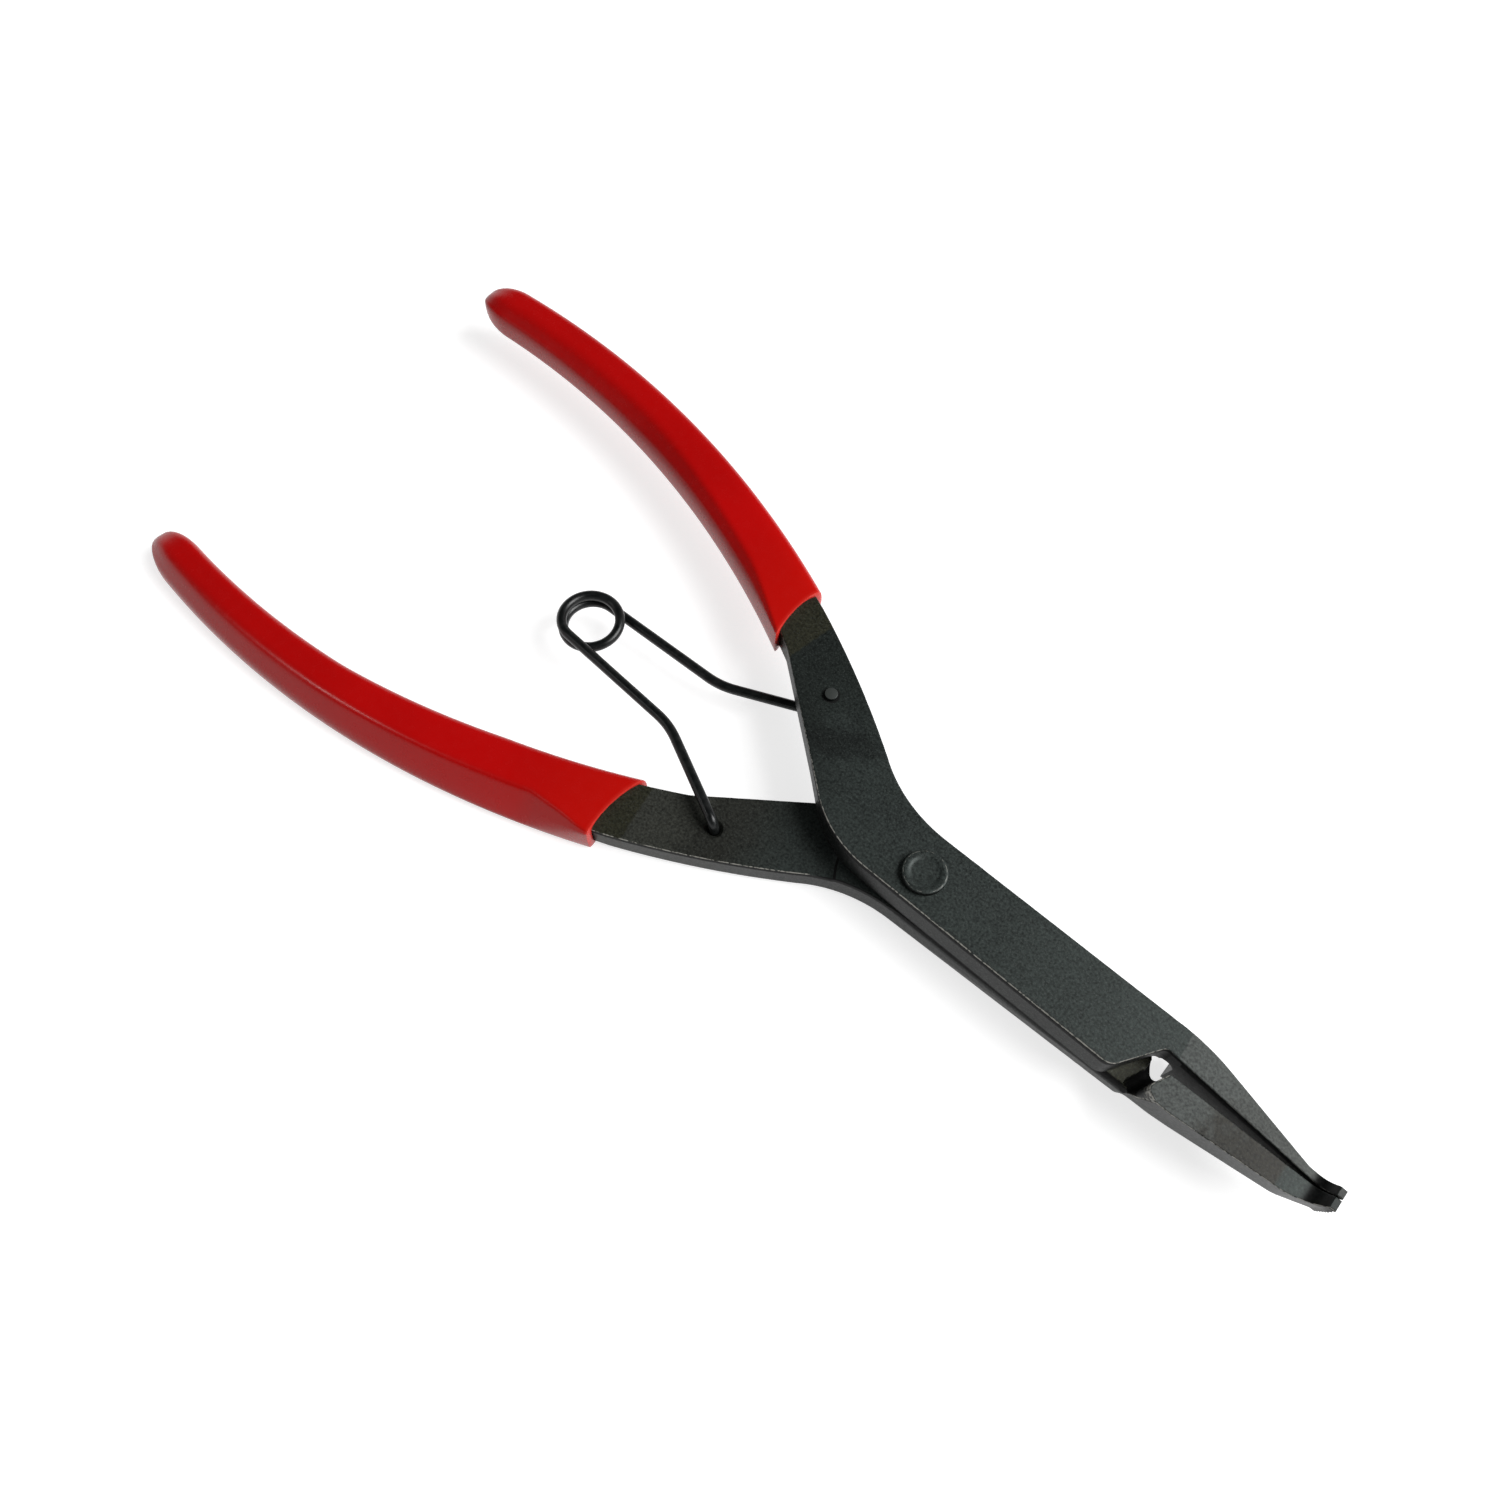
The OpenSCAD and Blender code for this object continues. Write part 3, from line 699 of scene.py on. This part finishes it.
def jaw_back(y):
    """Where the lower jaw's round back lies across its width."""
    y = max(0.5, y)
    corner = max(0, (y - BACK_ROUND_FROM) / BACK_ROUND_RUN)
    return min(BACK_LIMIT, BACK_AT - BACK_SLANT * y + BACK_ROUND * corner ** 3)


def follow_back(x, y):
    """Bends the lines across the nose so that one of them runs along the jaw's back."""
    share = soft_step(x, BACK_FOLLOW[0], LOWER_BACK) * (1 - soft_step(x, LOWER_BACK, BACK_FOLLOW[1]))
    return share * (jaw_back(y) - LOWER_BACK)


def lower_high(x, y):
    """Height of the lower member's upper face: handle, joint face, groove, jaw and lip."""
    if x < JOINT_END:
        return LOW_LAP - (LOW_LAP - LOW_HANDLE) * joint_step(x, y)
    gap = jaw_back(y) - x
    if gap > 0:
        return LOW_LAP - groove(gap)
    edge = BACK_EDGE - math.sqrt(BACK_EDGE ** 2 - max(0, BACK_EDGE + gap) ** 2)
    return JAW_TOP - edge + lip_rise(x)


def lower_low(x, y):
    return LOW_UNDER + jaw_under(x)


def lower_own_shift(x, z):
    """How far the nose's outer side stands off its outline, for the plate's draft and the jaw's lean."""
    if x < NECK_OUT[0]:
        return 0
    run = LOWER_SHOULDER[0] - NECK_OUT[0]
    back = (LOWER_SHOULDER[0] - x) / run
    outline = lower_outer(x)
    plate = LOWER_SHOULDER[1] + back * (LOWER_NOSE_W - LOWER_SHOULDER[1] + PLATE_DRAFT)
    plate = min(outline, plate - PLATE_DRAFT * (LOW_LAP - z) / (LOW_LAP - LOW_UNDER))
    lap_share = max(0, (z - LAP_DRAFT_Z) / (LOW_LAP - LAP_DRAFT_Z))
    plate -= LAP_DRAFT * min(1, max(0, LAP_DRAFT_FADE - back)) * lap_share
    jaw = outline - JAW_LEAN * (JAW_TOP - min(z, JAW_TOP))
    share = soft_step(x, *JAW_BLEND)
    return (1 - share) * plate + share * jaw - outline


def no_shift(x, z):
    return 0


def back_rub(x, y):
    """Wear along the top edge of the lower jaw's back."""
    ahead = x - jaw_back(y)
    return BACK_RUB if 0.005 < ahead < BACK_EDGE * 0.7 else 0


def lower_rub_and_shade(x):
    """Wear along the outer top edge, rubbed on the handle and the jaw, and painted shade under the other
    plate.
    """
    return np.interp(x, *LOWER_RUB_AND_SHADE)


def faint_rub(x):
    return FAINT_RUB


def no_rub(x):
    return 0


# Lines across the nose lie close together round the groove and the edge of the jaw's back.
groove_x = LOWER_BACK + np.array((-2.4, -2.3, -2.1, -1.85, -1.55, -1.2, -0.9, -0.6, -0.35,
    -0.15, -0.05, -0.015))
back_x = LOWER_BACK + np.array((0.015, 0.05, 0.1, 0.17, 0.25, 0.35, 0.5, 0.7, 1, 1.4))
plate_x = np.linspace(0.5, JOINT_END, 20)
jaw_x = np.concatenate((np.linspace(48.6, 68.5, 24), np.linspace(69, TIP_X, 22)))
lower_x = np.concatenate((plate_x, np.arange(36, 44.2, 0.25), groove_x, back_x, jaw_x))
lower_lines = handle_lines(LOWER_FAR, LOWER_NOSE_W, LOWER_IN_FROM, LOWER_WIDE)
lower_lines += [(np.array((x, lower_outer(x))),
    np.array((x, inner_edge(x, LOWER_SLIT, LOWER_PLATE_END, LOWER_NOTCH_X)))) for x in lower_x]
lower_mesh = forge("lower_member_forging", -1, lower_lines,
    (follow_back, lower_high, lower_low, lower_own_shift, no_shift), (lower_rub_and_shade, faint_rub, no_rub, back_rub))
lower_mesh = drill(lower_mesh, [(PIVOT_HOLE_R, z) for z in LOWER_DRILL])
lower_mesh = drill(lower_mesh, [(HOLE_R, LOWER_DRILL[0]), (HOLE_R, LOW_HANDLE - SINK_D), (SINK_R, LOW_HANDLE),
    (SINK_R, LOWER_DRILL[1])], HOLE)


def lower_ground(x, y, z):
    return (z - LOWER_GROUND_Z).step(0, 0.1) * (1 - (x - LOWER_GROUND_END).step(-0.4, 0.4))


def lower_painted_shade(x, y, z, normal):
    """Painted shade in the groove, on the jaw's back and in the crease round the joint face."""
    up = normal.part("Z")
    sunk = (1 - (z - GROOVE_SHADE_Z).step(0, 0.25)) * up.step(0.05, 0.4)
    wall = (1 - (normal.part("X") + 0.6).step(-0.2, 0.2)) * (1 - (z - BACK_SHADE_Z).step(0, 0.5)) * 0.7
    crease = (1 - abs(x * x + y * y - LAP_R ** 2).step(4, 9)) * up.step(0.5, 0.9)
    crease = crease * (1 - (x - LAP_STEP_TO).step(-2, 0))
    in_groove = (x - GROOVE_SHADE_X[0]).step(0, 0.5) * (1 - (x - GROOVE_SHADE_X[1]).step(0, 1))
    return (sunk + wall) * in_groove + crease * 0.8


lower_paint = oxide("lower_member_oxide", HANDLE_BROWN, handle_side_shading=0.5, pale_x=-36, stained=0.9,
    ground_mask=lower_ground, shade_mask=lower_painted_shade, band_slant=0.23, band_x=-49.5, smudge=(IN_GRIP, 0))
place_piece(lower_mesh, "lower_member_forging", lower_paint, "lower", "lower_member")

# Upper member: the same forging turned over, with a plain flat top. Its joint plate ends in a
# slanted front edge and a round notch at the root of the slit, and its near side leans out below.
UPPER_FAR = 143.5
UPPER_IN_FROM = 42.5
UPPER_NOSE_W = 7.1
UPPER_SLIT = 2.3
UPPER_PLATE_END = 37.9
UPPER_NOTCH_X = 45.0
UPPER_SHOULDER = 44.0
UPPER_SHOULDER_R = 37.0
UPPER_TAPER = math.radians(13)
UPPER_CHEEK = (68.5, 1.8)
UPPER_TIP_W = 1.6
UPPER_BACK = 47.4
UPPER_LEAN = 0.5
UPPER_LEAN_FROM = (-22, -6)
UPPER_LEAN_END = 43
UPPER_PIVOT_R = 2.55
UPPER_DRILL = (4, 15)
UPPER_GROUND_X = 46.7
UPPER_GROUND_SLANT = 0.09
UPPER_RUB = ((-60, -30, -15, 43, 47), (0.5, 0.5, 1, 1, 0.5))
# Painted shade along the upper plate's under edge, over the gap to the lower plate.
LAP_SHADE = ((-16, -12, 43, 45), (0, -1, -1, 0))
# Squared distances of the painted shade round the spring's stud.
STUD_SHADE = (1.9, 3.2)


def upper_outer(x):
    """The outer edge of the upper nose, with a round shoulder before the taper."""
    bend_x = UPPER_SHOULDER + UPPER_SHOULDER_R * math.sin(UPPER_TAPER)
    bend_y = UPPER_NOSE_W - UPPER_SHOULDER_R * (1 - math.cos(UPPER_TAPER))
    if x < UPPER_SHOULDER:
        return UPPER_NOSE_W
    if x < bend_x:
        return UPPER_NOSE_W - UPPER_SHOULDER_R + math.sqrt(UPPER_SHOULDER_R ** 2 - (x - UPPER_SHOULDER) ** 2)
    return np.interp(x, (bend_x, UPPER_CHEEK[0], TIP_X), (bend_y, UPPER_CHEEK[1], UPPER_TIP_W))


def straight(x, y):
    return 0


def unrubbed(x, y):
    return 0


def upper_high(x, y):
    return JAW_TOP + lip_rise(x)


def upper_low(x, y):
    """Height of the upper member's underside: handle, joint face, groove and jaw."""
    if x < JOINT_END:
        return UP_LAP + (UP_HANDLE - UP_LAP) * joint_step(x, y)
    if x < UPPER_BACK:
        return UP_LAP + groove(UPPER_BACK - x)
    return LOW_UNDER + jaw_under(x)


def upper_other_shift(x, z):
    """How far the joint plate's near side leans out below its top edge."""
    share = soft_step(x, *UPPER_LEAN_FROM) * (1 - soft_step(x, UPPER_PLATE_END, UPPER_LEAN_END))
    return UPPER_LEAN * share * (JAW_TOP - z) / (JAW_TOP - UP_LAP)


def upper_rub(x):
    """Wear along the near top edge, strongest beside the rivet."""
    return np.interp(x, *UPPER_RUB)


# Painted shade along the under edge of the upper plate.
def lap_shade(x):
    return np.interp(x, *LAP_SHADE)


upper_x = np.concatenate((plate_x, np.arange(36, 43, 0.25), np.arange(43, 47.3, 0.13),
    (47.38, 47.42, 47.8, 48.2), jaw_x))
upper_lines = handle_lines(UPPER_FAR, UPPER_NOSE_W, UPPER_IN_FROM, 0)
upper_lines += [(np.array((x, upper_outer(x))),
    np.array((x, inner_edge(x, UPPER_SLIT, UPPER_PLATE_END, UPPER_NOTCH_X)))) for x in upper_x]
upper_mesh = forge("upper_member_forging", 1, upper_lines,
    (straight, upper_high, upper_low, no_shift, upper_other_shift),
    (faint_rub, upper_rub, lap_shade, unrubbed))
upper_mesh = drill(upper_mesh, [(UPPER_PIVOT_R, z) for z in UPPER_DRILL])
upper_mesh = drill(upper_mesh, [(HOLE_R, z) for z in UPPER_DRILL], HOLE * (1, -1))


def upper_ground(x, y, z):
    return (x + y * UPPER_GROUND_SLANT - UPPER_GROUND_X).step(-0.12, 0.12)


def upper_painted_shade(x, y, z, normal):
    """Painted shade round the spring's stud, between the squares of two distances from it."""
    stud_x, stud_y = x - HOLE[0], y + HOLE[1]
    return (1 - (stud_x * stud_x + stud_y * stud_y).step(*STUD_SHADE)) * 0.7


upper_paint = oxide("upper_member_oxide", HANDLE_SHADED, handle_side_shading=0.6, pale_x=IN_GRIP, stained=0.25,
    ground_mask=upper_ground, shade_mask=upper_painted_shade, band_slant=0.168, band_x=-45.9, smudge=(-25, 9))
place_piece(upper_mesh, "upper_member_forging", upper_paint, "upper", "upper_member")

# Rivet: a flat-headed steel pin through both plates, set cold, with a shallow turned ring in its
# upper head and the same black finish.
HEAD_R = 3.8
HEAD_TOP = 13.15
HEAD_UNDER = 12.15
SHANK_R = 2.5
RING_R = 2.5
RING_D = 0.2
HEAD_RIM = (HEAD_R - 0.25, HEAD_TOP - 0.02)
rivet_profile = [(0.01, 0), (HEAD_R - 0.3, 0), (HEAD_R - 0.08, 0.08), (HEAD_R, 0.3), (HEAD_R, LOW_UNDER),
    (SHANK_R, LOW_UNDER), (SHANK_R, HEAD_UNDER), (HEAD_R, HEAD_UNDER), (HEAD_R, HEAD_TOP - 0.28),
    (HEAD_R - 0.07, HEAD_TOP - 0.1), HEAD_RIM, (HEAD_R - 0.5, HEAD_TOP),
    (RING_R + 0.3, HEAD_TOP), (RING_R + 0.1, HEAD_TOP - RING_D * 0.4), (RING_R - 0.1, HEAD_TOP - RING_D),
    (RING_R - 0.4, HEAD_TOP - RING_D * 1.15), (0.01, HEAD_TOP - RING_D)]


def not_ground(x, y, z):
    return x * 0


def no_painted_shade(x, y, z, normal):
    return x * 0


rivet_paint = oxide("rivet_oxide", FORGED, handle_side_shading=1, pale_x=IN_GRIP, stained=0, ground_mask=not_ground,
    shade_mask=no_painted_shade, band_slant=0, band_x=IN_GRIP, smudge=(IN_GRIP, 0))
rivet_mesh = lathe("rivet_pin", rivet_profile, sides=72, worn=(rivet_profile.index(HEAD_RIM),))
place_piece(rivet_mesh, "rivet_pin", rivet_paint, "lower", "pivot_rivet", crease=30)

# Grips: each handle is dipped in red vinyl, which sets as a sleeve with a flat top, a sloped near
# side and a thick round end. Its mouth is cut back in a curve and stands a hair off the steel.
UPPER_REACH = 153.5
LOWER_REACH = 158.0
HANDLE_T = 5.0
GRIP_WALL = 1.46
GRIP_WALL_Z = 1.0
GRIP_ROUND = 9.0
UPPER_SLOPE = 0.65
LOWER_SLOPE = 1.05
RIDGE_SOFT = ((48, 58, 85, 120), (0.1, 0.2, 0.3, 0.6))
UPPER_FLAT = ((49, 60, 80, 100), (0.85, 0.55, 0.42, 0.25))
LOWER_FLAT = ((49, 54, 61, 100), (0.85, 0.58, 0.28, 0.26))
MOUTH_RUN = 20.0
MOUTH_DIP = 1.1
MOUTH_GAP = 0.22
VINYL_RED = (0.43, 0.0006, 0.0006, 1)
VINYL_DEEP = (0.385, 0.0004, 0.0004, 1)
VINYL_ORANGE = (0.445, 0.0028, 0.0006, 1)
VINYL_PALE = (0.62, 0.045, 0.03, 1)
# Painted reflection of the white table on the grips' upright sides.
VINYL_TABLE_SHEEN = (0.52, 0.016, 0.013, 1)
VINYL_ROUGH = 0.26
VINYL_SHINE = 0.35
PEEL_WAVES = 0.55
PEEL_DEPTH = 0.1
DEEP_WAVES = 0.035
ORANGE_FROM = -72
ORANGE_RUN = 26
ORANGE_SHARE = 0.8


def grip_outline(w, h, ridge, soft, slope):
    """A grip's section, as a soft curve round its corners. Its sloped side is toward plus."""
    brow = 0.95 * w
    slope *= h / (HANDLE_T / 2 + GRIP_WALL_Z)
    corners = np.array([
        (0.6 * w, -h), (0.93 * w, -0.9 * h), (w, -0.55 * h), (brow, h - slope * (brow - ridge)),
        (ridge + soft * 0.7, h - slope * soft * 0.7), (ridge, h), (ridge - soft, h),
        (-0.7 * w, h), (-0.93 * w, 0.8 * h), (-0.98 * w, 0.2 * h),
        (-0.98 * w, -0.3 * h), (-0.9 * w, -0.85 * h), (-0.6 * w, -h)])
    before = (corners + np.roll(corners, 1, axis=0)) / 2
    after = (corners + np.roll(corners, -1, axis=0)) / 2
    return [(1 - t) ** 2 * a + 2 * t * (1 - t) * b + t ** 2 * c
        for a, b, c in zip(before, corners, after) for t in (0, 0.25, 0.5, 0.75)]


def grip_ring(x, w, h, flat, slope, off, z, side):
    """One ring of a grip, square to the handle but cut straight across at the mouth."""
    ring = []
    for near, up in grip_outline(w, h, flat * w, np.interp(x, *RIDGE_SOFT) * w, slope):
        out = -side * near
        fade = max(0, 1 - (x - MOUTH) / MOUTH_RUN)
        tilt = (BOW_END - x) / BOW_R
        back = x + (out + off) * tilt * fade + MOUTH_DIP * (1 - (out / w) ** 2) * fade ** 2
        a, b = on_bow(back, out + off)
        ring.append((a, side * b, z + up))
    return ring


def grip_mesh(name, reach, far, wide, flats, slope, z, side):
    """A grip's sleeve, from inside its mouth over the pale cut lip to the round end."""
    full = reach - GRIP_ROUND
    rings, lip = [], []
    sections = [(MOUTH + 7, 0, 0), (MOUTH + 0.25, 0, 0), (MOUTH + 0.06, 0.45, 0.6), (MOUTH, 0.75, 1),
        (MOUTH + 0.08, 0.98, 1), (MOUTH + 0.3, 1, 0.4)]
    sections += [(x, 1, 0) for x in np.linspace(MOUTH + 0.8, full, 48)]
    sections += [(full + GRIP_ROUND * math.sin(math.radians(a)), 1, 0) for a in range(9, 90, 9)]
    for x, wall, pale in sections:
        steel_x = min(x, far)
        own, other = tang_half(steel_x, far), tang_in(steel_x, far, wide)
        grow = math.sqrt(1 - (max(0, x - full) / GRIP_ROUND) ** 2)
        w = ((own + other) / 2 + max(MOUTH_GAP, wall * GRIP_WALL)) * grow
        h = (HANDLE_T / 2 + max(MOUTH_GAP, wall * GRIP_WALL_Z)) * grow
        rings.append(grip_ring(x, w, h, np.interp(x, *flats), slope, (own - other) / 2, z, side))
        lip.append([pale] * len(rings[-1]))
    return skin(name, rings, lip)


vinyl, place = start_material("dipped_vinyl")
along = place.part("X")
peel = place.noise(PEEL_WAVES, 2)
depth = place.noise(DEEP_WAVES, 2)
pale_lip = place.node("Attribute", {"attribute_name": "wear_and_shade"}, {}, out="Fac")
red = depth.step(0.35, 0.7).between(VINYL_RED, VINYL_DEEP)
red = ((along - ORANGE_FROM).step(0, ORANGE_RUN) * ORANGE_SHARE).between(red, VINYL_ORANGE)
# Painted reflection: the upright sides take a paler, hazier red, for the white table mirrored in them.
upright = 1 - place.node("NewGeometry", {}, {}, out="Normal").part("Z").step(0.05, 0.8)
red = (upright * (0.6 + peel * 0.4)).between(red, VINYL_TABLE_SHEEN)
red = (pale_lip * (0.2 + peel * 0.4)).between(red, VINYL_PALE)
peel_bump = place.node("Bump", {}, {"Strength": 0.12, "Distance": PEEL_DEPTH * MM, "Height": peel})
end_material(place, Base_Color=red, Roughness=VINYL_ROUGH + (peel - 0.5) * 0.12, Normal=peel_bump,
    Specular_IOR_Level=VINYL_SHINE)
low_mid = LOW_UNDER + HANDLE_T / 2
up_mid = JAW_TOP - HANDLE_T / 2
lower_sleeve = grip_mesh("lower_grip_sleeve", LOWER_REACH, LOWER_FAR, LOWER_WIDE, LOWER_FLAT, LOWER_SLOPE,
    low_mid, side=-1)
upper_sleeve = grip_mesh("upper_grip_sleeve", UPPER_REACH, UPPER_FAR, 0, UPPER_FLAT, UPPER_SLOPE,
    up_mid, side=1)
place_piece(lower_sleeve, "lower_grip_sleeve", vinyl, "lower", "lower_grip")
place_piece(upper_sleeve, "upper_grip_sleeve", vinyl, "upper", "upper_grip")

# Spring: one black wire wound a turn and a half, with a kneed leg hooked into a hole in each
# handle. Its two halves lap in the coil, so that they slide on each other as the handles close.
WIRE_R = 0.95
WIRE_SIDES = 18
COIL_R = 5.4
COIL_X = 78.0
COIL_RISE = 3.3
COIL_STEPS = 80
COIL_LAP = 19.0
KNEE = np.array((-51.3, -6.6))
KNEE_RUN = 3.0
BEND_R = 1.8
SPRING_MID = 6.55
PIN_UNDER = 1.5
STUD_R = 1.2
STUD_UNDER = 12.15
STUD_TOP = 12.85
STUD_NECK_R = 0.9
STUD_NECK = 0.6
LAP_SLIM = 0.975
WIRE_BLACK = (0.004, 0.005, 0.005, 1)
WIRE_GREY = (0.011, 0.012, 0.012, 1)
WIRE_ROUGH = 0.32
WIRE_METAL = 0.2
WIRE_SHINE = 0.4
leg_z = COIL_RISE / 2


def unit(v):
    return np.array(v) / np.linalg.norm(v)


knee_v = np.array((COIL_X, 0)) + KNEE
knee_turn = math.atan2(knee_v[1], knee_v[0]) - math.acos(COIL_R / np.linalg.norm(knee_v))
coil_start = np.array((-COIL_X, 0)) + COIL_R * np.array((math.cos(knee_turn), math.sin(knee_turn)))
to_hole = unit(HOLE - KNEE)
to_coil = unit(coil_start - KNEE)
spring_line = [np.array((*HOLE, z)) for z in np.linspace(PIN_UNDER - SPRING_MID, leg_z - BEND_R, 4)[:-1]]
for a in np.radians(np.arange(0, 91, 15)):
    plan = HOLE - to_hole * BEND_R * (1 - math.cos(a))
    spring_line.append(np.array((*plan, leg_z - BEND_R * (1 - math.sin(a)))))
for t in np.linspace(0, 1, 9):
    plan = KNEE + KNEE_RUN * ((1 - t) ** 2 * to_hole + t ** 2 * to_coil)
    spring_line.append(np.array((*plan, leg_z)))
coil_turn = 2 * math.pi + knee_turn
coil_turns = np.linspace(0, coil_turn + math.radians(COIL_LAP), COIL_STEPS)
for t in coil_turns:
    spring_line.append(np.array((-COIL_X + COIL_R * math.cos(knee_turn - t), COIL_R * math.sin(knee_turn - t),
        leg_z * (1 - t / coil_turn))))
lap_steps = COIL_STEPS * math.radians(COIL_LAP) / coil_turns[-1]


def wire_mesh(name, turned):
    """A round wire along the spring's line. The upper half is the lower one turned over."""
    rings = []
    for i, p in enumerate(spring_line):
        way = unit(spring_line[min(i + 1, len(spring_line) - 1)] - spring_line[max(i - 1, 0)])
        flat = np.array((way[1], -way[0], 0))
        side = unit(flat) if np.linalg.norm(flat) > 0.05 else np.array((-to_hole[1], to_hole[0], 0))
        rise = np.cross(way, side)
        radius = WIRE_R * (LAP_SLIM if i > len(spring_line) - lap_steps else 1)
        ring = []
        for turn in np.linspace(0, 2 * math.pi, WIRE_SIDES, endpoint=False):
            q = p + radius * (math.cos(turn) * side + math.sin(turn) * rise)
            ring.append((q[0], -q[1], SPRING_MID - q[2]) if turned else (q[0], q[1], SPRING_MID + q[2]))
        rings.append(ring)
    return skin(name, rings)


wire_paint, place = start_material("black_wire")
drawn = place.noise(0.8, 3)
wire_colour = drawn.step(0.35, 0.75).between(WIRE_BLACK, WIRE_GREY)
wire_colour = (place.part("Z") - STUD_TOP).step(-0.1, -0.02).between(wire_colour, GROUND_GREY)
wire_bump = place.node("Bump", {}, {"Strength": 0.1, "Distance": 0.03 * MM, "Height": place.noise(3.5, 3)})
end_material(place, Base_Color=wire_colour, Roughness=WIRE_ROUGH + (drawn - 0.5) * 0.2, Metallic=WIRE_METAL,
    Normal=wire_bump, Specular_IOR_Level=WIRE_SHINE)
place_piece(wire_mesh("spring_wire_lower", False), "spring_wire_lower", wire_paint,
    "spring_lower", "spring_lower_half")
stud_profile = [(0.01, STUD_UNDER - STUD_NECK), (STUD_NECK_R, STUD_UNDER - STUD_NECK),
    (STUD_NECK_R, STUD_UNDER), (STUD_R, STUD_UNDER), (STUD_R, STUD_TOP - 0.18),
    (STUD_R - 0.06, STUD_TOP - 0.05), (STUD_R - 0.2, STUD_TOP), (0.01, STUD_TOP)]
stud = lathe("stud", stud_profile, HOLE * (1, -1))
upper_wire = wire_mesh("spring_wire_upper", True)
tidy(upper_wire, stud)
place_piece(upper_wire, "spring_wire_upper", wire_paint, "spring_upper", "spring_upper_half")
